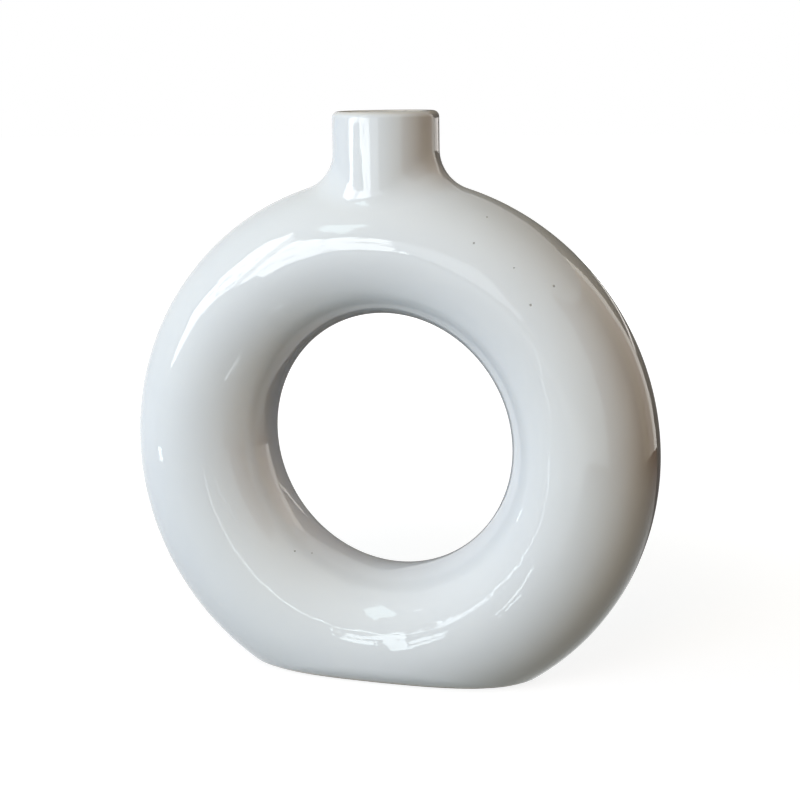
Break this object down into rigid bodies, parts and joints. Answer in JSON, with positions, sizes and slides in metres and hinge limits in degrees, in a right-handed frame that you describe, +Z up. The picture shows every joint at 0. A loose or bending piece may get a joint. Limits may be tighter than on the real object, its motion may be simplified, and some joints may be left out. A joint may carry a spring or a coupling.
{
  "type": "donut vase",
  "caption": "Upright hollow ring vase of glazed ceramic, with a round hole through it, a flat bare foot and a short round neck on top for cut stems.",
  "frame": {"origin": "middle of the foot, on the surface that the vase stands on, on the neck's axis", "axes": "+Z up along the neck's axis, X across the ring in its own plane, Y through the hole, with the pictured front facing -Y"},
  "size_m": [0.22, 0.061, 0.228],
  "materials": {
    "bare_clay": "fired light stoneware, bare and matt, wiped smooth under the foot",
    "outer_glaze": "glossy pale grey-white glaze, slightly wavy, with a few pinholes",
    "liner_glaze": "glossy pale grey-white liner glaze"
  },
  "bodies": {
    "root": {"clay_body": "bare_clay", "outer_glaze": "outer_glaze", "inner_glaze": "liner_glaze"}
  },
  "joints": []
}
